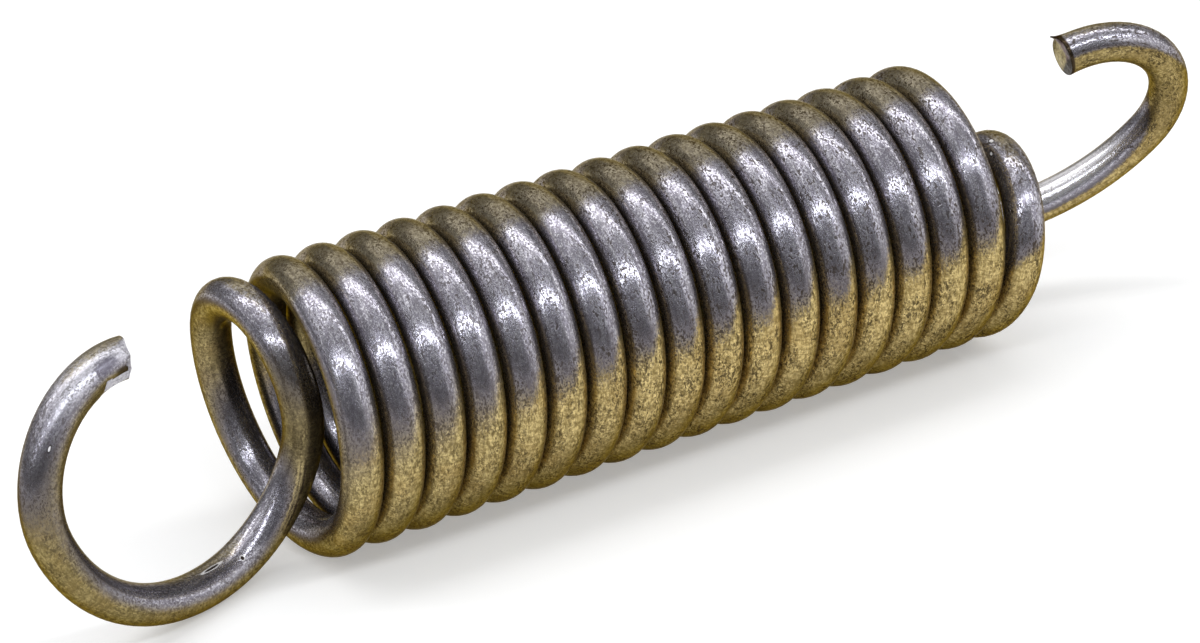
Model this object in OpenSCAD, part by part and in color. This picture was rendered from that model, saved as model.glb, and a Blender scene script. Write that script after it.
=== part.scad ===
// Extension spring wound from one round wire.
// The coil axis runs along X and the spring lies on Z = 0 as it comes to rest.
// Each end of the coil crosses over the coil's centre and runs out into an open hook.

/* [Wire and coil] */
// diameter of the wire
wire_d = 3.5; // [1.5:0.1:5]
// outside diameter of the coil
coil_od = 24.75; // [18:0.25:40]
// full turns of the coil between the two end rings
turns = 17; // [4:1:20]
// clear space between neighbouring turns, as a share of the wire diameter
turn_gap = 0.04; // [0.02:0.01:0.4]
// where the coil starts, measured from straight down towards the front
start_angle = 34; // [0:1:90]

/* [Left hook] */
// radius of the end ring, as a ratio of the mean coil radius
left_ring_ratio = 1.055; // [0.95:0.001:1.15]
// sweep of the end ring before it leaves the coil
left_ring_sweep = 141.4; // [120:0.1:160]
// lean of the end ring away from the coil, in pitch angles
left_ring_lean = 1.89; // [1.2:0.02:3]
// radius of the bend that crosses the coil's end, as a ratio of the mean coil radius
left_cross_ratio = 0.645; // [0.5:0.001:0.8]
// sweep of the crossing bend
left_cross_sweep = 181.6; // [150:0.1:200]
// roll of the wire before the crossing bend
left_cross_roll = 1.3; // [-20:0.1:10]
// radius of the bend that turns out of the coil
left_out_r = 9.38; // [5:0.01:15]
// sweep of the bend that turns out of the coil
left_out_sweep = 92.9; // [60:0.1:120]
// roll of the wire before it turns out of the coil
left_out_roll = -105.5; // [-120:0.1:-80]
// radius of the first part of the hook
left_hook_r = 15.82; // [9:0.01:21]
// sweep of the first part of the hook
left_hook_sweep = 77.3; // [40:0.1:110]
// roll of the wire before the hook
left_hook_roll = 17.4; // [-5:0.1:30]
// radius of the last part of the hook
left_tip_r = 8.87; // [6:0.01:13]
// sweep of the last part of the hook
left_tip_sweep = 120.7; // [60:0.1:140]
// slant of the cut at the free end
left_cut = 26; // [0:1:30]
// side on which the cut leaves the wire longest, turned about the wire from the inside of the bend
left_cut_side = 76; // [-180:1:180]

/* [Right hook] */
// radius of the end ring, as a ratio of the mean coil radius
right_ring_ratio = 1.096; // [0.95:0.001:1.15]
// sweep of the end ring before it leaves the coil
right_ring_sweep = 28.1; // [15:0.1:60]
// lean of the end ring away from the coil, in pitch angles
right_ring_lean = 2.02; // [1.2:0.02:3]
// radius of the bend that crosses the coil's end, as a ratio of the mean coil radius
right_cross_ratio = 0.617; // [0.5:0.001:0.8]
// sweep of the crossing bend
right_cross_sweep = 183.3; // [150:0.1:200]
// roll of the wire before the crossing bend
right_cross_roll = -8.6; // [-20:0.1:0]
// radius of the bend that turns out of the coil
right_out_r = 5.185; // [4:0.005:10]
// sweep of the bend that turns out of the coil
right_out_sweep = 114.6; // [60:0.1:130]
// roll of the wire before it turns out of the coil
right_out_roll = -91.3; // [-110:0.1:-70]
// radius of the first part of the hook
right_hook_r = 18.77; // [9:0.01:21]
// sweep of the first part of the hook
right_hook_sweep = 38.2; // [20:0.1:80]
// radius of the last part of the hook
right_tip_r = 7.416; // [5:0.002:10]
// sweep of the last part of the hook
right_tip_sweep = 153; // [90:0.1:165]
// slant of the cut at the free end
right_cut = 20; // [0:1:30]
// side on which the cut leaves the wire longest, turned about the wire from the inside of the bend
right_cut_side = -25; // [-180:1:180]

/* [Hidden] */
wire_r = wire_d / 2;
mean_r = coil_od / 2 - wire_r;
pitch = wire_d * (1 + turn_gap);
pitch_angle = atan(pitch / (2 * PI * mean_r));
// the coil is a chain of quarter turns that meet tangent to each other
quarter = 90;
quarters = 4 * turns;
rise = pitch / 4;
climb = atan(rise / (2 * mean_r));
// neighbouring arcs reach into each other and differ by a hair in thickness
lap = 2;
hair = 0.06;
// facets of the wire's section and of a full turn
section_fn = 24;
turn_fn = 96;
wire_colour = [0.52, 0.5, 0.46];
// radius of the k-th arc: every second one is thicker, from one free end to the other
function thickness(k) = wire_r + (k % 2 - 1 / 2) * hair;

// geometry of the chain of arcs
function unit(v) = v / norm(v);
function angle_at(i) = start_angle + quarter * i;
function out_dir(i) = [0, -sin(angle_at(i)), -cos(angle_at(i))];
function round_dir(i) = [0, -cos(angle_at(i)), sin(angle_at(i))];
function on_coil(i) = mean_r * out_dir(i) + [rise * i, 0, 0];
function along(i) = cos(climb) * round_dir(i) + [sin(climb), 0, 0];
function roll_about(n, t, a) = n * cos(a) + cross(t, n) * sin(a);

// an arc is [centre, direction to its start, direction of travel, radius, sweep]
function arc_between(p, t, q) =
  let (c = q - p,
       half = acos(unit(c) * t),
       n = unit(c - t * (c * t)),
       rho = norm(c) / (2 * sin(half)))
  [p + rho * n, -n, t, rho, 2 * half];
function arc_point(a, s) = a[0] + a[3] * (cos(s) * a[1] + sin(s) * a[2]);
function arc_end_dir(a) = -sin(a[4]) * a[1] + cos(a[4]) * a[2];
function arc_end_normal(a) = -cos(a[4]) * a[1] - sin(a[4]) * a[2];

// a bend is [radius, sweep, roll], and carries on from point p, direction t and normal n
function bent(p, t, n, bend) =
  let (m = roll_about(n, t, bend[2]))
  [p + bend[0] * m, -m, t, bend[0], bend[1]];
function walk(p, t, n, bends, i = 0) =
  i == len(bends) ? [] :
  let (a = bent(p, t, n, bends[i]))
  concat([a], walk(arc_point(a, a[4]), arc_end_dir(a), arc_end_normal(a), bends, i + 1));

coil_arcs = [for (i = [0:quarters - 1]) arc_between(on_coil(i), along(i), on_coil(i + 1))];
left_bends = [
  [left_ring_ratio * mean_r, left_ring_sweep, -left_ring_lean * pitch_angle],
  [left_cross_ratio * mean_r, left_cross_sweep, left_cross_roll],
  [left_out_r, left_out_sweep, left_out_roll],
  [left_hook_r, left_hook_sweep, left_hook_roll],
  [left_tip_r, left_tip_sweep, 0]
];
right_bends = [
  [right_ring_ratio * mean_r, right_ring_sweep, -right_ring_lean * pitch_angle],
  [right_cross_ratio * mean_r, right_cross_sweep, right_cross_roll],
  [right_out_r, right_out_sweep, right_out_roll],
  [right_hook_r, right_hook_sweep, 0],
  [right_tip_r, right_tip_sweep, 0]
];
left_arcs = walk(on_coil(0), -along(0), -out_dir(0), left_bends);
right_arcs = walk(on_coil(quarters), along(quarters), -out_dir(quarters), right_bends);

// where the wire's centre line reaches, to set the spring down at the origin
reach = [for (a = concat(coil_arcs, left_arcs, right_arcs), k = [0:24]) arc_point(a, a[4] * k / 24)];
mid_x = (min([for (p = reach) p[0]]) + max([for (p = reach) p[0]])) / 2;
mid_y = (min([for (p = reach) p[1]]) + max([for (p = reach) p[1]])) / 2;
low_z = min([for (p = reach) p[2]]) - wire_r;

// one arc of wire, longer by the lap at each end
module wire_arc(a, r, before = lap, after = lap) {
  b = cross(a[1], a[2]);
  multmatrix([[a[1][0], a[2][0], b[0], a[0][0]],
              [a[1][1], a[2][1], b[1], a[0][1]],
              [a[1][2], a[2][2], b[2], a[0][2]]])
    rotate([0, 0, -before])
      rotate_extrude(angle = a[4] + before + after, $fn = turn_fn)
        translate([a[3], 0])
          circle(r = r, $fn = section_fn);
}

// the arcs of a hook, numbered from first on, the last one cut off at a slant
module hook(arcs, cut, side, first) {
  last = len(arcs) - 1;
  for (i = [0:last - 1])
    wire_arc(arcs[i], thickness(first + i));
  difference() {
    wire_arc(arcs[last], thickness(first + last), lap, lap + cut / 2);
    cutter(arcs[last], cut, side);
  }
}

// block that stands at the end of an arc, tilted by the slant of the cut
module cutter(a, cut, side) {
  e = arc_end_dir(a);
  n = arc_end_normal(a);
  b = cross(e, n);
  p = arc_point(a, a[4]);
  multmatrix([[e[0], n[0], b[0], p[0]],
              [e[1], n[1], b[1], p[1]],
              [e[2], n[2], b[2], p[2]]])
    rotate([side, 0, 0])
      rotate([0, 0, -cut])
        translate([0, -1.5 * wire_d, -1.5 * wire_d])
          cube([3 * wire_d, 3 * wire_d, 3 * wire_d]);
}

module spring() {
  color(wire_colour)
    translate([-mid_x, -mid_y, -low_z]) {
      for (i = [0:quarters - 1])
        wire_arc(coil_arcs[i], thickness(i));
      hook(left_arcs, left_cut, left_cut_side, 1);
      hook(right_arcs, right_cut, right_cut_side, quarters);
    }
}

spring();
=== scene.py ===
import math
from types import SimpleNamespace
import bpy
import numpy as np
from mathutils import Matrix, Vector


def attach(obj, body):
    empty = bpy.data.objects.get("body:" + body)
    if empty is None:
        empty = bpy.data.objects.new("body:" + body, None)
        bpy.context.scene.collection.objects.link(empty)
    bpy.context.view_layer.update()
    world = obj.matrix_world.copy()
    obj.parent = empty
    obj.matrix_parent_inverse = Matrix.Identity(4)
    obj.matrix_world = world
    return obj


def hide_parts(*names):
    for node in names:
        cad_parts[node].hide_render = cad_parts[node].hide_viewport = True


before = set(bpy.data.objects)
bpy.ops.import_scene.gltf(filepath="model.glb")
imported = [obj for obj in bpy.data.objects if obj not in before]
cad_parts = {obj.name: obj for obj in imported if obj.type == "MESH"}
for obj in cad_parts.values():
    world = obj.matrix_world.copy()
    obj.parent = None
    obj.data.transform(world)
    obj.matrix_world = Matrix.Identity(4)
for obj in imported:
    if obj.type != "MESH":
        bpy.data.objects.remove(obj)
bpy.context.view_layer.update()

# Sizes of the spring in millimetres and degrees, the same as the solid's
WIRE_D, COIL_OD, TURNS, TURN_GAP, START = 3.5, 24.75, 17, 0.04, 34.0
MEAN_R = (COIL_OD - WIRE_D) / 2
# Bends of each end from the coil outwards: radius, sweep, roll
LEFT_LEAN, RIGHT_LEAN = 1.89, 2.02
LEFT = [(1.055 * MEAN_R, 141.4, 0), (0.645 * MEAN_R, 181.6, 1.3), (9.38, 92.9, -105.5),
        (15.82, 77.3, 17.4), (8.87, 120.7, 0)]
RIGHT = [(1.096 * MEAN_R, 28.1, 0), (0.617 * MEAN_R, 183.3, -8.6), (5.185, 114.6, -91.3),
         (18.77, 38.2, 0), (7.416, 153, 0)]
# Slant of each cut end, and the side that it leaves longest
LEFT_CUT, LEFT_SIDE = 26, 76
RIGHT_CUT, RIGHT_SIDE = 20, -25
PITCH = WIRE_D * (1 + TURN_GAP)
PITCH_ANGLE = math.degrees(math.atan(PITCH / (2 * math.pi * MEAN_R)))
CLIMB = math.atan(PITCH / (8 * MEAN_R))
# Height of the coil's axis above the floor
COIL_MID = 13.0
# The drawn surface stays just inside the solid's
WIRE_R = WIRE_D / 2 - 0.04
# Vertices around the wire, and the distance between rings along it and near a free end
SIDES = 44
STEP = 0.9
TIP_STEP, TIP_REACH = 0.2, 3.6
MM = 0.001

# Stretch of wire over which the slant of a cut grows
CUT_SPREAD = 2.8
# Rings of a cut face as shares of the wire's radius, and the rounding of its rim
FACE_RINGS = (0.14, 0.28, 0.42, 0.56, 0.69, 0.80, 0.88)
BEVEL, BEVEL_ANGLES = 0.12, (60, 30, 0)
# A cut face is uneven and sunk a little, and its torn part lies deeper
FACE_UNEVEN, FACE_SCALE, FACE_SUNK = 0.05, 3.2, 0.04
TEAR_DEPTH, TEAR_SOFTNESS = 0.17, 0.06
LEFT_SEED, RIGHT_SEED = 5, 8
# Flats that the cutters left beside the left end: angle about the wire, depth at the end, length
LEFT_FLATS = [(228, 0.30, 1.9), (184, 0.34, 1.5), (146, 0.26, 2.1)]
# Burr on the rim of the right end: angle about the wire, width, how far it stands out and on,
# and the distance over which it dies away along the wire
BURR_ANGLE, BURR_WIDTH, BURR_OUT, BURR_ON, BURR_FADE = 133, 0.25, 0.36, 0.44, 0.34
# Waves that are added up for the unevenness of a cut face, and the spread of their frequencies
WAVES, WAVE_SPREAD = 7, 1.6
# Edges sharper than this are drawn as edges
SHARP_ANGLE = 32
# Material slots of the wire
WIRE_SLOT, CUT_SLOT = 0, 1


# The centre line is a chain of arcs that meet tangent to each other
# An arc is its centre, the direction to its start, the direction of travel, its radius and sweep
def out_dir(i):
    a = math.radians(START + 90 * i)
    return np.array([0, -math.sin(a), -math.cos(a)])


def on_coil(i):
    return MEAN_R * out_dir(i) + np.array([PITCH / 4 * i, 0, 0])


def along(i):
    a = math.radians(START + 90 * i)
    c = math.cos(CLIMB)
    return np.array([math.sin(CLIMB), -c * math.cos(a), c * math.sin(a)])


def arc_between(p, t, q):
    c = q - p
    u = c / np.linalg.norm(c)
    half = math.acos(u @ t)
    n = u - t * (u @ t)
    n /= np.linalg.norm(n)
    rho = np.linalg.norm(c) / (2 * math.sin(half))
    return p + rho * n, -n, t, rho, 2 * half


def point_at(a, s):
    return a[0] + a[3] * (math.cos(s) * a[1] + math.sin(s) * a[2])


def dir_at(a, s):
    return -math.sin(s) * a[1] + math.cos(s) * a[2]


def inward_at(a, s):
    return -math.cos(s) * a[1] - math.sin(s) * a[2]


def walk(p, t, n, bends, lean):
    """Arcs that carry on from point p, direction t and normal n, the first one leaning."""
    arcs = []
    for j, (rho, sweep, roll) in enumerate(bends):
        a = math.radians(roll - (lean * PITCH_ANGLE if j == 0 else 0))
        m = n * math.cos(a) + np.cross(t, n) * math.sin(a)
        arc = (p + rho * m, -m, t, rho, math.radians(sweep))
        arcs.append(arc)
        p, t, n = point_at(arc, arc[4]), dir_at(arc, arc[4]), inward_at(arc, arc[4])
    return arcs


def stations(a, tip):
    """Angles along an arc, closer together near a free end."""
    length = a[3] * a[4]
    if not tip:
        return np.linspace(0, a[4], math.ceil(length / STEP) + 1)
    plain = length - TIP_REACH
    body = np.linspace(0, plain, math.ceil(plain / STEP), endpoint=False)
    end = np.linspace(plain, length, math.ceil(TIP_REACH / TIP_STEP) + 1)
    return np.concatenate([body, end]) / a[3]


def long_side(a, side):
    """Direction across the wire's end to the side that the cut leaves longest."""
    n = inward_at(a, a[4])
    b = np.cross(dir_at(a, a[4]), n)
    s = math.radians(side)
    return math.cos(s) * n + math.sin(s) * b


def centre_line():
    """Points and directions from the left free end to the right one, and each cut's long side."""
    last = 4 * TURNS
    left = walk(on_coil(0), -along(0), -out_dir(0), LEFT, LEFT_LEAN)
    coil = [arc_between(on_coil(i), along(i), on_coil(i + 1)) for i in range(last)]
    right = walk(on_coil(last), along(last), -out_dir(last), RIGHT, RIGHT_LEAN)
    pts, dirs = [], []
    for a in left[::-1]:
        for s in stations(a, a is left[-1])[:0:-1]:
            pts.append(point_at(a, s))
            dirs.append(-dir_at(a, s))
    for a in coil + right:
        for s in stations(a, a is right[-1])[:-1]:
            pts.append(point_at(a, s))
            dirs.append(dir_at(a, s))
    pts.append(point_at(right[-1], right[-1][4]))
    dirs.append(dir_at(right[-1], right[-1][4]))
    pts, dirs = np.array(pts), np.array(dirs)
    low, high = pts.min(0), pts.max(0)
    pts -= [(low[0] + high[0]) / 2, (low[1] + high[1]) / 2, low[2] - WIRE_D / 2]
    return pts, dirs, long_side(left[-1], LEFT_SIDE), long_side(right[-1], RIGHT_SIDE)


def carry_frame(pts, dirs):
    """One direction across the wire at each point, carried along without twist."""
    n = np.cross(dirs[0], [0, 0, 1.0])
    n /= np.linalg.norm(n)
    out = [n]
    for i in range(1, len(pts)):
        v = pts[i] - pts[i - 1]
        c = v @ v
        nl = out[-1] - 2 / c * (v @ out[-1]) * v
        tl = dirs[i - 1] - 2 / c * (v @ dirs[i - 1]) * v
        w = dirs[i] - tl
        c = w @ w
        if c > 1e-14:
            nl = nl - 2 / c * (w @ nl) * w
        nl = nl - dirs[i] * (nl @ dirs[i])
        out.append(nl / np.linalg.norm(nl))
    return np.array(out)


def wave(seed, x, y):
    """Smooth seeded wobble of two coordinates, about -1 to 1."""
    rng = np.random.default_rng(seed)
    total = np.zeros_like(x)
    for k in range(WAVES):
        fx, fy = rng.normal(0, WAVE_SPREAD, 2)
        phase = rng.uniform(0, 6.28)
        finer = 1 + 0.5 * k
        total += np.sin(fx * x * finer + fy * y * finer + phase) / (1 + 0.45 * k)
    return total / 2.2


class WireSurface:
    """Rings of vertices along the wire, and each vertex's place on the straightened wire."""

    def __init__(self):
        self.pts, self.dirs, self.left_long, self.right_long = centre_line()
        self.nrm = carry_frame(self.pts, self.dirs)
        self.bin = np.cross(self.dirs, self.nrm)
        steps = np.linalg.norm(np.diff(self.pts, axis=0), axis=1)
        self.run = np.concatenate([[0], np.cumsum(steps)])
        th = np.arange(SIDES) * 2 * math.pi / SIDES
        self.cos, self.sin = np.cos(th), np.sin(th)
        from_burr = np.angle(np.exp(1j * (th - math.radians(BURR_ANGLE))))
        self.burr = np.exp(-(from_burr / BURR_WIDTH) ** 4)
        self.verts, self.bars = [], []

    def outward(self, i):
        return np.outer(self.cos, self.nrm[i]) + np.outer(self.sin, self.bin[i])

    def ring(self, i, radius, lift=0.0):
        """Adds a ring around point i, lifted along the wire, and gives its vertices' numbers."""
        to_end = self.run[-1] - self.run[i]
        near = self.burr * math.exp(-to_end / BURR_FADE) * (radius / WIRE_R) ** 3
        off = self.outward(i)
        left = max(0.0, 1 - self.run[i] / CUT_SPREAD) * math.tan(math.radians(LEFT_CUT))
        right = max(0.0, 1 - to_end / CUT_SPREAD) * math.tan(math.radians(RIGHT_CUT))
        move = radius * (right * (off @ self.right_long) - left * (off @ self.left_long))
        move = move + lift + BURR_ON * near
        r = radius + BURR_OUT * near
        start = len(self.verts)
        self.verts.extend(self.pts[i] + off * np.reshape(r, (-1, 1)) + np.outer(move, self.dirs[i]))
        self.bars.extend(np.stack([self.run[i] + move, r * self.cos, r * self.sin], 1))
        return list(range(start, start + SIDES))

    def end_face(self, i, sign, long, seed):
        """Rings from the middle of a cut face out to its rounded edge, innermost first."""
        across = np.cross(self.dirs[i], long)
        rings = []
        for share in FACE_RINGS:
            off = share * WIRE_R * self.outward(i)
            x, y = off @ long, off @ across
            uneven = FACE_UNEVEN * wave(seed, x * FACE_SCALE, y * FACE_SCALE)
            torn = TEAR_DEPTH / (1 + np.exp((x * 0.8 + y * 0.6 - 0.1) / TEAR_SOFTNESS))
            rings.append(self.ring(i, share * WIRE_R, sign * (uneven - FACE_SUNK - torn)))
        for angle in BEVEL_ANGLES:
            c, s = math.cos(math.radians(angle)), math.sin(math.radians(angle))
            rings.append(self.ring(i, WIRE_R - BEVEL * (1 - c), -sign * BEVEL * (1 - s)))
        return rings

    def middle(self, ring):
        """Adds the vertex in the middle of a ring and gives its number."""
        self.verts.append(np.mean([self.verts[v] for v in ring], axis=0))
        self.bars.append(np.mean([self.bars[v] for v in ring], axis=0))
        return len(self.verts) - 1

    def press_flats(self, verts, bars):
        """Moves the vertices above each flat down to it, and tells which ones were moved."""
        near = np.nonzero(bars[:, 0] < TIP_REACH)[0]
        pressed = np.zeros(len(verts), bool)
        for angle, depth, length in LEFT_FLATS:
            a, tilt = math.radians(angle), math.atan(depth / length)
            radial = math.cos(a) * self.nrm[0] + math.sin(a) * self.bin[0]
            up = math.cos(tilt) * radial - math.sin(tilt) * self.dirs[0]
            above = (verts[near] - self.pts[0] - (WIRE_R - depth) * radial) @ up
            verts[near] -= np.outer(np.maximum(above, 0), up)
            pressed[near[above > 0]] = True
        return pressed


def add_object(name, data):
    obj = bpy.data.objects.new(name, data)
    bpy.context.scene.collection.objects.link(obj)
    return obj


def build_wire():
    s = WireSurface()
    last = len(s.pts) - 1
    left_face = s.end_face(0, -1, s.left_long, LEFT_SEED)
    body = [s.ring(i, WIRE_R) for i in range(1, last)]
    right_face = s.end_face(last, 1, s.right_long, RIGHT_SEED)
    chain = left_face + body + right_face[::-1]
    faces, slots = [], []
    bands = len(chain) - 1
    for n in range(bands):
        a, b = chain[n], chain[n + 1]
        cut = n < len(FACE_RINGS) or n >= bands - len(FACE_RINGS)
        for j in range(SIDES):
            k = (j + 1) % SIDES
            faces.append((a[j], a[k], b[k], b[j]))
            slots.append(CUT_SLOT if cut else WIRE_SLOT)
    for ring, flip in ((left_face[0], True), (right_face[0], False)):
        middle = s.middle(ring)
        for j in range(SIDES):
            k = (j + 1) % SIDES
            faces.append((middle, ring[k], ring[j]) if flip else (middle, ring[j], ring[k]))
            slots.append(CUT_SLOT)
    verts, bars = np.array(s.verts), np.array(s.bars)
    pressed = s.press_flats(verts, bars)
    for n, face in enumerate(faces):
        if all(pressed[v] for v in face):
            slots[n] = CUT_SLOT
    mesh = bpy.data.meshes.new("spring_wire")
    mesh.from_pydata((verts * MM).tolist(), [], faces)
    bar = mesh.attributes.new("bar", "FLOAT_VECTOR", "POINT")
    bar.data.foreach_set("vector", bars.astype(np.float32).ravel())
    mesh.polygons.foreach_set("use_smooth", [True] * len(faces))
    mesh.polygons.foreach_set("material_index", slots)
    mesh.set_sharp_from_angle(angle=math.radians(SHARP_ANGLE))
    mesh.update()
    return add_object("spring_wire", mesh)


class Graph:
    """A material's node tree, with a short call for each kind of node used here."""

    def __init__(self, name):
        self.mat = bpy.data.materials.new(name)
        self.mat.use_nodes = True
        self.tree = self.mat.node_tree
        self.tree.nodes.clear()

    def node(self, kind, inputs=None, **settings):
        n = self.tree.nodes.new(kind)
        for k, v in settings.items():
            setattr(n, k, v)
        for k, v in (inputs or {}).items():
            self.put(n.inputs[k], v)
        return n

    def put(self, socket, v):
        if isinstance(v, bpy.types.NodeSocket):
            self.tree.links.new(v, socket)
        else:
            socket.default_value = v

    def math(self, op, a, b=0.0, clamp=False):
        n = self.node("ShaderNodeMath", {0: a, 1: b}, operation=op)
        n.use_clamp = clamp
        return n.outputs[0]

    def chain(self, op, values):
        total = values[0]
        for v in values[1:]:
            total = self.math(op, total, v)
        return total

    def add(self, *values):
        return self.chain("ADD", values)

    def times(self, *values):
        return self.chain("MULTIPLY", values)

    def most(self, *values):
        return self.chain("MAXIMUM", values)

    def minus(self, a, b):
        return self.math("SUBTRACT", a, b)

    def swing(self, noise, spread):
        """A noise made to swing about zero."""
        return self.times(self.minus(noise, 0.5), spread)

    def step(self, v, low, high, out_low=0.0, out_high=1.0):
        """Smooth change from one value to another while v goes from low to high."""
        n = self.node("ShaderNodeMapRange", {
            "Value": v, "From Min": low, "From Max": high, "To Min": out_low, "To Max": out_high},
            interpolation_type="SMOOTHSTEP")
        return n.outputs[0]

    def span(self, v, limits, peak=1.0):
        """Rises between the first two limits and falls between the last two."""
        return self.times(self.step(v, limits[0], limits[1]),
                          self.step(v, limits[3], limits[2], 0, peak))

    def mix(self, f, a, b):
        n = self.node("ShaderNodeMix", data_type="RGBA")
        self.put(n.inputs[0], f)
        self.put(n.inputs[6], a)
        self.put(n.inputs[7], b)
        return n.outputs[2]

    def vector(self, op, a, b=(0, 0, 0)):
        return self.node("ShaderNodeVectorMath", {0: a, 1: b}, operation=op)

    def distance(self, vec, centre, size):
        """Distance from a centre, measured in half sizes along each axis."""
        off = self.vector("SUBTRACT", vec, centre).outputs[0]
        return self.vector("LENGTH", self.vector("DIVIDE", off, size).outputs[0]).outputs["Value"]

    def parts(self, vec):
        return self.node("ShaderNodeSeparateXYZ", {0: vec}).outputs[:]

    def noise(self, vec, scale, detail, rough, distortion=0.0):
        """Noise whose coordinates are scaled by one number for each axis."""
        vec = self.vector("MULTIPLY", vec, scale).outputs[0]
        n = self.node("ShaderNodeTexNoise", {"Vector": vec, "Scale": 1.0, "Detail": detail,
                                             "Roughness": rough, "Distortion": distortion})
        return n.outputs[0]

    def finish(self, shader):
        self.node("ShaderNodeOutputMaterial", {"Surface": shader.outputs[0]})
        return self.mat


def rgb(r, g, b):
    return (r, g, b, 1.0)


# Colours of the steel and of its streaks and salt, and the painted shade of its lower part
STEEL_DARK, STEEL_LIGHT = rgb(0.235, 0.22, 0.26), rgb(0.43, 0.415, 0.49)
STREAK, SALT, LOW_STEEL_SHADE = rgb(0.72, 0.71, 0.75), rgb(0.90, 0.89, 0.94), rgb(0.115, 0.10, 0.105)
# Painted highlights on the left tip and on the right strand, and the darker colour of the left limb
TIP_HIGHLIGHT, DARK_LIMB, STRAND_HIGHLIGHT = rgb(0.92, 0.91, 0.98), rgb(0.12, 0.11, 0.118), rgb(0.96, 0.95, 1.0)
# Colours of the painted olive reflection on top
OLIVE_DARK, OLIVE_LIGHT = rgb(0.20, 0.16, 0.09), rgb(0.50, 0.43, 0.27)
# Colours of the gold, a painted reflection of a gold surface beneath, fresh and dull
GOLD_LIGHT, DULL_LIGHT = rgb(0.82, 0.64, 0.285), rgb(0.60, 0.48, 0.215)
GOLD_DARK, DULL_DARK = rgb(0.27, 0.195, 0.072), rgb(0.19, 0.145, 0.06)
GOLD_BLOTCH, GOLD_EDGE, GOLD_DEEP = (rgb(0.35, 0.23, 0.075), rgb(0.17, 0.135, 0.075),
                                     rgb(0.15, 0.115, 0.045))
# Painted shade by the crossing, black of the specks, and a painted shadow at the left tip
CROSSING_SHADE, BLACK_SCALE, TIP_SHADOW = (rgb(0.105, 0.087, 0.057), rgb(0.05, 0.036, 0.022),
                                   rgb(0.12, 0.11, 0.15))
# White of the painted glints on nicks and edges, and black of the marks
GLINT_WHITE, DARK = rgb(0.97, 0.96, 0.98), rgb(0.04, 0.03, 0.025)
EDGE_TINT = rgb(0.42, 0.34, 0.16)
# Stretches of the wire, in millimetres from its left end: rise from, to, fall from, to
COIL = 80, 92, 1226, 1238
LIMB = 7, 12, 22, 30
STRAND = 1275, 1281, 1285, 1291
CROSSING = 48, 54, 60, 64
END_RING = 68, 74, 83, 89
SCORE = 45.4, 46.6, 52.0, 53.5
# Nicks, a scratch and a pit: place on the straightened wire, half size, bright or dark; the bright
# nicks and the bright edges of the dark marks are painted glints
MARKS = [((10.4, -1.35, -1.05), (0.20, 0.09, 0.09), True),
         ((38.4, -0.585, 1.607), (0.90, 0.12, 0.12), False),
         ((41.5, -1.31, 1.10), (0.17, 0.17, 0.17), False),
         ((1259.8, -1.50, 0.83), (0.24, 0.16, 0.16), True),
         ((1258.7, -1.01, 1.38), (0.20, 0.14, 0.14), True)]
# Lines of the score: offset from its middle, colour
SCORE_LINES = [(0.0, rgb(0.62, 0.50, 0.25)), (0.22, DARK), (-0.30, rgb(0.50, 0.40, 0.20))]
# Place and half size of the painted shadow behind the flats of the left end
TIP_SHADOW_AT, TIP_SHADOW_SIZE = (3.1, -1.43, -0.93), (1.2, 0.6, 0.7)
# How metallic the wire and the cut faces are, and the depth of their bumps in metres
WIRE_METALLIC, CUT_METALLIC, CUT_ROUGHNESS = 0.88, 0.8, 0.34
WIRE_BUMP, CUT_BUMP = 0.000034, 0.00012


def wire_fields(g):
    """Places in millimetres, the way the surface faces, and the noises that follow the wire."""
    w = SimpleNamespace()
    w.bar = g.node("ShaderNodeAttribute", attribute_name="bar").outputs["Vector"]
    w.run, w.bar_y, w.bar_z = g.parts(w.bar)
    tex = g.node("ShaderNodeTexCoord")
    place = g.vector("MULTIPLY", tex.outputs["Object"], (1000, 1000, 1000)).outputs[0]
    w.x, w.y, w.z = g.parts(place)
    w.to_right, _, w.up = g.parts(tex.outputs["Normal"])
    w.streak = g.noise(w.bar, (0.22, 2.6, 2.6), 4, 0.6)
    w.patch = g.noise(w.bar, (0.45, 0.9, 0.9), 4, 0.6)
    w.grain = g.noise(w.bar, (2.4, 4.0, 4.0), 5, 0.7)
    w.fine = g.noise(w.bar, (5.2, 7.4, 7.4), 2, 0.6)
    w.pock = g.noise(w.bar, (2.6, 3.7, 3.7), 2, 0.5)
    w.dash = g.noise(w.bar, (2.4, 6.2, 6.2), 3, 0.75, 0.3)
    w.chatter = g.noise(w.bar, (5.2, 1.0, 1.0), 2, 0.6)
    w.blotch = g.noise(place, (0.22, 0.22, 0.22), 4, 0.6)
    w.coil = g.span(w.run, COIL)
    # Where the strand at the right has a painted highlight
    w.rubbed = g.span(w.run, STRAND, 0.95)
    return w


def toward(g, w, y, z):
    """How far a point lies towards one side of the straightened wire."""
    return g.add(g.times(w.bar_y, y), g.times(w.bar_z, z))


def add_tarnish(g, w):
    """Where the under side is painted gold, a painted reflection of a gold surface beneath, with a
    speckled edge, and where the gold is dull.
    """
    w.dull = g.step(g.add(w.x, g.swing(w.blotch, 20)), 5, -42)
    ragged = g.add(g.swing(w.blotch, 0.14), g.swing(w.grain, 0.16), g.swing(w.fine, 0.20))
    # Less of the painted gold on the strand with the painted highlight
    less_gold = g.times(g.step(w.run, 1268, 1276, 0, 0.25), g.step(w.run, 1294, 1284))
    # On the coil the painted gold reflection climbs higher on the right of each turn
    climb = g.times(g.step(w.to_right, -0.05, 0.45, 0, 0.12), w.coil)
    w.edge = g.minus(g.add(w.up, ragged, less_gold), climb)
    # Painted reflection: the under side is painted gold
    w.tarnish = g.step(w.edge, g.step(w.dull, 0, 1, 0.18, 0.30), g.step(w.dull, 0, 1, 0.0, -0.22))


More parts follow.
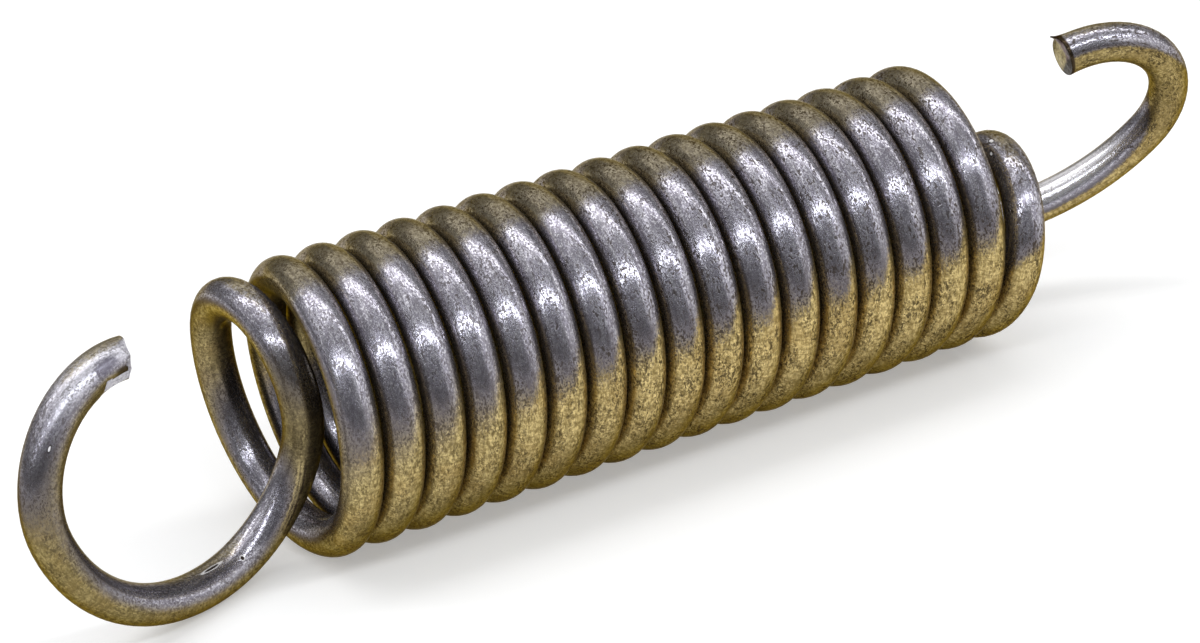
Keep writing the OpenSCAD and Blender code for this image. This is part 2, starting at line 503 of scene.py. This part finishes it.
def olive_top_reflection(g, w):
    """Where the steel is painted olive, a painted reflection of a yellow backdrop behind: along the
    top of the coil and of the wire beyond it.
    """
    rise = g.minus(w.z, COIL_MID)
    from_axis = g.math("SQRT", g.add(g.times(rise, rise), g.times(w.y, w.y)))
    over = g.add(g.math("DIVIDE", rise, from_axis), g.swing(w.grain, 0.05))
    over = g.times(g.step(over, 0.925, 0.978), w.coil)
    return g.most(g.times(g.step(w.edge, 0.84, 1.00), g.minus(1.0, w.coil)), over)


def steel_colour(g, w):
    """Mottled steel with pale streaks and salt, painted shade low down, a painted olive reflection
    on top and painted highlights on the left tip and the right strand.
    """
    mottle = g.add(g.times(w.grain, 0.6), g.times(w.patch, 0.4))
    steel = g.mix(g.step(mottle, 0.36, 0.62), STEEL_DARK, STEEL_LIGHT)
    steel = g.mix(g.step(w.streak, 0.40, 0.72, 0.0, 0.3), steel, STREAK)
    steel = g.mix(g.step(w.fine, 0.44, 0.38, 0.0, 0.6), steel, SALT)
    # Painted shade: the lower part of the steel is painted dark brown, less so on the right
    low_shade = g.times(g.step(w.edge, 0.44, 0.16), g.step(w.to_right, 0.30, 0.08, 0.5, 1.0))
    steel = g.mix(g.times(low_shade, 0.86), steel, LOW_STEEL_SHADE)
    # The left hook's free end has a painted highlight, and its limb is darker
    tip_highlight = g.times(g.step(w.run, 10, 4, 0, 0.5), g.step(w.edge, 0.2, 0.55))
    steel = g.mix(tip_highlight, steel, TIP_HIGHLIGHT)
    steel = g.mix(g.span(w.run, LIMB, 0.55), steel, DARK_LIMB)
    # Painted highlight on the strand that leaves the coil at the right
    steel = g.mix(g.times(w.rubbed, g.step(w.edge, 0.42, 0.66)), steel, STRAND_HIGHLIGHT)
    # Painted olive reflection along the top, kept off the strand with the painted highlight
    olive = g.mix(g.step(w.grain, 0.35, 0.65), OLIVE_DARK, OLIVE_LIGHT)
    olive_reflection = g.times(olive_top_reflection(g, w), g.step(w.rubbed, 0, 1, 0.8, 0.1))
    return g.mix(olive_reflection, steel, olive)


def gold_colour(g, w):
    """Gold of the under side, a painted reflection of a gold surface beneath, with brown blotches
    and rows of chatter marks.
    """
    light = g.mix(w.dull, GOLD_LIGHT, DULL_LIGHT)
    dark = g.mix(w.dull, GOLD_DARK, DULL_DARK)
    gold = g.mix(g.step(w.grain, 0.34, 0.64), dark, light)
    gold = g.mix(g.step(w.blotch, 0.45, 0.66, 0.0, 0.4), gold, GOLD_BLOTCH)
    gold = g.mix(g.step(w.chatter, 0.50, 0.60, 0.0, 0.55), gold, dark)
    # Darker where the gold begins, part of the painted reflection
    full = g.step(w.edge, 0.17, -0.06)
    gold = g.mix(g.step(full, 0, 1, 0.7, 0.0), gold, GOLD_EDGE)
    # It is painted darker underneath as painted shade, and deepens along the right hook, towards
    # the right and along the left hook
    deep = g.most(g.step(w.up, -0.24, -0.60, 0, 0.55), g.step(w.run, 1286, 1293, 0, 0.5),
                  g.step(w.x, 10, 40, 0, 0.18), g.step(w.run, 52, 42, 0, 0.5))
    return g.mix(deep, gold, GOLD_DEEP)


def specks(g, w):
    """Pits, dashes and pocks, fewer on the strand with the painted highlight and towards the left.
    """
    pits = g.times(g.step(w.fine, 0.54, 0.60), g.step(w.patch, 0.38, 0.56, 0.35, 1.0))
    dashes = g.times(g.step(w.dash, 0.52, 0.59), g.step(w.tarnish, 0.2, 0.9),
                     g.step(w.patch, 0.38, 0.60, 0.2, 1.0))
    pocks = g.times(g.step(w.pock, 0.56, 0.60), g.step(w.patch, 0.42, 0.56, 0.15, 1.0))
    dark = g.most(g.times(pits, 0.75), g.times(dashes, 0.65), g.times(pocks, 0.8))
    return g.times(dark, g.step(w.rubbed, 0.2, 1, 1, 0.3), g.step(w.x, -34, 4, 0.68, 1.0))


def black_edges(g, w):
    """Black on the right end's burr and rim, and on a line between the left end's flats."""
    burr = g.step(toward(g, w, -0.68, 0.73), 1.73, 1.82)
    rim = g.step(g.add(w.run, toward(g, w, 0.105, 0.348)), 1309.90, 1310.08)
    line = g.times(g.step(toward(g, w, -0.94, 0.34), 1.50, 1.58), g.step(w.run, 3.0, 2.0, 0, 0.85))
    return g.most(burr, rim, line)


def with_marks(g, w, colour, metal):
    """Nicks, scratch and pit: bright ones are nicks with a painted glint and a dark edge, dark ones
    have a painted glint along their edge.
    """
    for centre, size, bright in MARKS:
        away = g.add(g.distance(w.bar, centre, size), g.swing(w.fine, 0.8))
        core, rim = g.step(away, 1.1, 0.85), g.step(away, 1.9, 1.3, 0.0, 0.75)
        colour = g.mix(rim, colour, DARK if bright else GLINT_WHITE)
        colour = g.mix(core, colour, GLINT_WHITE if bright else DARK)
        # The painted glint is matt, so that it shows from every side
        metal = g.math("SUBTRACT", metal, g.times(core if bright else rim, 0.7), clamp=True)
    return colour, metal


def with_score(g, w, colour):
    """A long score beside the crossing at the left, gold with a dark side."""
    offset = g.add(toward(g, w, -0.19, -0.98), g.times(g.minus(w.run, 49.2), 0.125),
                   g.swing(w.grain, 0.5))
    window = g.times(g.span(w.run, SCORE), g.step(w.bar_y, -0.6, -0.9, 0, 0.6))
    for middle, shade in SCORE_LINES:
        away = g.math("ABSOLUTE", g.minus(offset, middle))
        colour = g.mix(g.times(g.step(away, 0.11, 0.05), window), colour, shade)
    return colour


def wire_material():
    """Drawn wire: steel above and a painted gold reflection below, with painted shade, painted
    highlights and glints, pits and marks.
    """
    g = Graph("drawn_steel")
    w = wire_fields(g)
    add_tarnish(g, w)
    colour = g.mix(w.tarnish, steel_colour(g, w), gold_colour(g, w))
    # Painted shade where the wire leaves the coil at the left, behind and among other turns
    crossing_shade = g.add(g.span(w.run, CROSSING, 0.6), g.span(w.run, END_RING, 0.3))
    colour = g.mix(crossing_shade, colour, CROSSING_SHADE)
    dark = specks(g, w)
    # Black on the specks, and on the burr, the rim and the line between the flats at the ends
    colour = g.mix(g.most(dark, black_edges(g, w)), colour, BLACK_SCALE)
    colour, metal = with_marks(g, w, colour, WIRE_METALLIC)
    colour = with_score(g, w, colour)
    # A painted shadow, dark violet, behind the flats of the left end
    away = g.add(g.distance(w.bar, TIP_SHADOW_AT, TIP_SHADOW_SIZE), g.swing(w.grain, 1.6))
    colour = g.mix(g.step(away, 1.3, 0.5, 0.0, 0.8), colour, TIP_SHADOW)
    rough = g.add(g.step(w.grain, 0.3, 0.7, 0.23, 0.16), g.times(w.tarnish, 0.10),
                  g.times(dark, 0.2), g.step(w.run, 15, 8, 0, 0.12))
    height = g.add(g.times(w.grain, 0.22), g.times(w.streak, 0.12), g.times(w.fine, 0.2))
    height = g.minus(height, g.times(dark, 0.3))
    bump = g.node("ShaderNodeBump", {"Strength": 1.0, "Distance": WIRE_BUMP, "Height": height})
    return g.finish(g.node("ShaderNodeBsdfPrincipled", {
        "Base Color": colour, "Metallic": metal, "Roughness": rough, "Normal": bump.outputs[0],
        "Specular IOR Level": 0.0, "Specular Tint": EDGE_TINT}))


# Colours of the cut faces, the clean left one first
CUT_BRIGHT = rgb(0.97, 0.96, 1.0), rgb(0.58, 0.49, 0.24)
CUT_DEEP = rgb(0.62, 0.60, 0.68), rgb(0.33, 0.26, 0.12)
CUT_DRAG = rgb(0.22, 0.20, 0.25), rgb(0.17, 0.13, 0.10)
CUT_VIOLET, CUT_BLACK = rgb(0.22, 0.16, 0.16), rgb(0.045, 0.035, 0.025)


def cut_material():
    """Sheared faces: bright and crumbly at the left end, gold and dark at the right end."""
    g = Graph("cut_face")
    w = SimpleNamespace()
    w.bar = g.node("ShaderNodeAttribute", attribute_name="bar").outputs["Vector"]
    w.run, w.bar_y, w.bar_z = g.parts(w.bar)
    crumb = g.noise(w.bar, (3.0, 3.0, 3.0), 5, 0.7)
    drag = g.noise(w.bar, (1.0, 7.0, 0.9), 4, 0.6)
    # The two ends are told apart halfway along the wire
    right_end = g.step(w.run, 600, 700)
    colour = g.mix(g.step(crumb, 0.35, 0.65), g.mix(right_end, *CUT_DEEP), g.mix(right_end, *CUT_BRIGHT))
    colour = g.mix(g.step(drag, 0.52, 0.70, 0.0, 0.7), colour, g.mix(right_end, *CUT_DRAG))
    # The right end darkens across its face, towards one side and its lowest edge
    uneven = g.swing(crumb, 0.8)
    side = g.add(toward(g, w, 0.5, 0.87), uneven)
    low = g.add(toward(g, w, 0.97, -0.26), uneven)
    colour = g.mix(g.times(g.step(side, 0.05, 0.5), right_end), colour, CUT_VIOLET)
    # Black towards that side and the lowest edge of the right end
    scale = g.most(g.step(side, 0.78, 1.0), g.step(low, 0.42, 0.8))
    colour = g.mix(g.times(scale, g.times(right_end, 0.96)), colour, CUT_BLACK)
    height = g.add(g.times(crumb, 0.6), g.times(drag, 0.5))
    bump = g.node("ShaderNodeBump", {"Strength": 0.6, "Distance": CUT_BUMP, "Height": height})
    return g.finish(g.node("ShaderNodeBsdfPrincipled", {
        "Base Color": colour, "Metallic": CUT_METALLIC, "Roughness": CUT_ROUGHNESS,
        "Normal": bump.outputs[0], "Specular IOR Level": 0.0}))


def floor_material():
    """White to the eye and in reflections, and pale enough to keep the spring's shadow."""
    g = Graph("pale_floor")
    path = g.node("ShaderNodeLightPath").outputs
    seen = g.most(path["Is Camera Ray"], path["Is Glossy Ray"], path["Is Transmission Ray"])
    matt = g.node("ShaderNodeBsdfDiffuse", {"Color": rgb(0.82, 0.82, 0.82)})
    glow = g.node("ShaderNodeEmission", {"Color": rgb(1, 1, 1), "Strength": g.times(seen, 0.33)})
    return g.finish(g.node("ShaderNodeAddShader", {0: matt.outputs[0], 1: glow.outputs[0]}))


# Lights in metres: start, end, width, radiance, colour
WHITE, COOL = (1, 1, 1), (0.93, 0.96, 1.0)
PANELS = {
    # A long tube in front, parallel to the coil, and two overhead behind it
    "front_tube": ((-2.4, -0.40, 0.96), (0.85, -0.68, 0.68), 0.09, 8.2, COOL),
    "rear_tube": ((-0.75, 0.56, 0.85), (0.28, 0.05, 0.86), 0.22, 2.7, WHITE),
    "side_tube": ((0.28, 0.05, 0.86), (2.1, -0.16, 0.85), 0.22, 2.1, WHITE),
    "right_wall": ((0.50, -1.12, 0.35), (1.25, -0.10, 0.35), 0.7, 0.9, WHITE),
    "left_wall": ((-1.0, 0.10, 0.62), (-0.62, 0.75, 0.62), 0.6, 0.5, WHITE),
    "top_tube": ((-0.80, 0.03, 0.97), (0.12, -0.06, 1.0), 0.20, 1.1, WHITE),
    "rear_wall": ((-0.5, 1.1, 0.85), (0.9, 1.0, 0.85), 0.55, 0.6, WHITE),
    "rear_right": ((0.35, 1.0, 0.25), (1.15, 0.45, 0.25), 0.4, 0.5, WHITE),
    "ceiling": ((-1.3, 0, 1.5), (1.3, 0, 1.5), 2.4, 0.25, WHITE),
}
PANELS_AIM = Vector((0, 0, 0.014))
# Camera of the photograph: a long lens, tilted a little about its own axis
LENS, SENSOR_WIDTH, CLIP_START, CLIP_END = 123.98, 36, 0.01, 10
CAMERA_AXES = ((0.87349, -0.47620, -0.10122), (0.28410, 0.32975, 0.90032),
               (-0.39535, -0.81517, 0.42333))
CAMERA_AT = (-0.13658, -0.27982, 0.15684)
FLOOR_HALF = 3
WORLD_STRENGTH = 0.2


def pose(axes, at):
    """Matrix of an object from its three axes and its place."""
    m = Matrix(axes).transposed().to_4x4()
    m.translation = at
    return m


def add_panel(name, start, end, width, radiance, colour):
    """Long light from start to end, turned to face the spring."""
    start, end = Vector(start), Vector(end)
    middle = (start + end) / 2
    side = (end - start).normalized()
    back = middle - PANELS_AIM
    back = (back - side * back.dot(side)).normalized()
    data = bpy.data.lights.new(name, "AREA")
    data.shape = "RECTANGLE"
    data.size, data.size_y = (end - start).length, width
    data.energy = radiance * math.pi * data.size * data.size_y
    data.color = colour
    add_object(name, data).matrix_world = pose((side, back.cross(side), back), middle)


def add_camera():
    data = bpy.data.cameras.new("camera")
    data.sensor_width = SENSOR_WIDTH
    data.lens = LENS
    data.clip_start, data.clip_end = CLIP_START, CLIP_END
    camera = add_object("camera", data)
    camera.matrix_world = pose(CAMERA_AXES, CAMERA_AT)
    bpy.context.scene.camera = camera


def add_floor():
    f = FLOOR_HALF
    mesh = bpy.data.meshes.new("floor")
    mesh.from_pydata([(-f, -f, 0), (f, -f, 0), (f, f, 0), (-f, f, 0)], [], [(0, 1, 2, 3)])
    mesh.materials.append(floor_material())
    return add_object("floor", mesh)


def set_world():
    world = bpy.data.worlds.new("studio")
    world.use_nodes = True
    background = world.node_tree.nodes["Background"]
    background.inputs["Color"].default_value = rgb(1, 1, 1)
    background.inputs["Strength"].default_value = WORLD_STRENGTH
    bpy.context.scene.world = world


wire = build_wire()
wire.data.materials.append(wire_material())
wire.data.materials.append(cut_material())
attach(wire, "root")
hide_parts("spring")

floor = add_floor()
set_world()
for panel_name, values in PANELS.items():
    add_panel(panel_name, *values)
add_camera()
bpy.context.scene.view_settings.view_transform = "Standard"
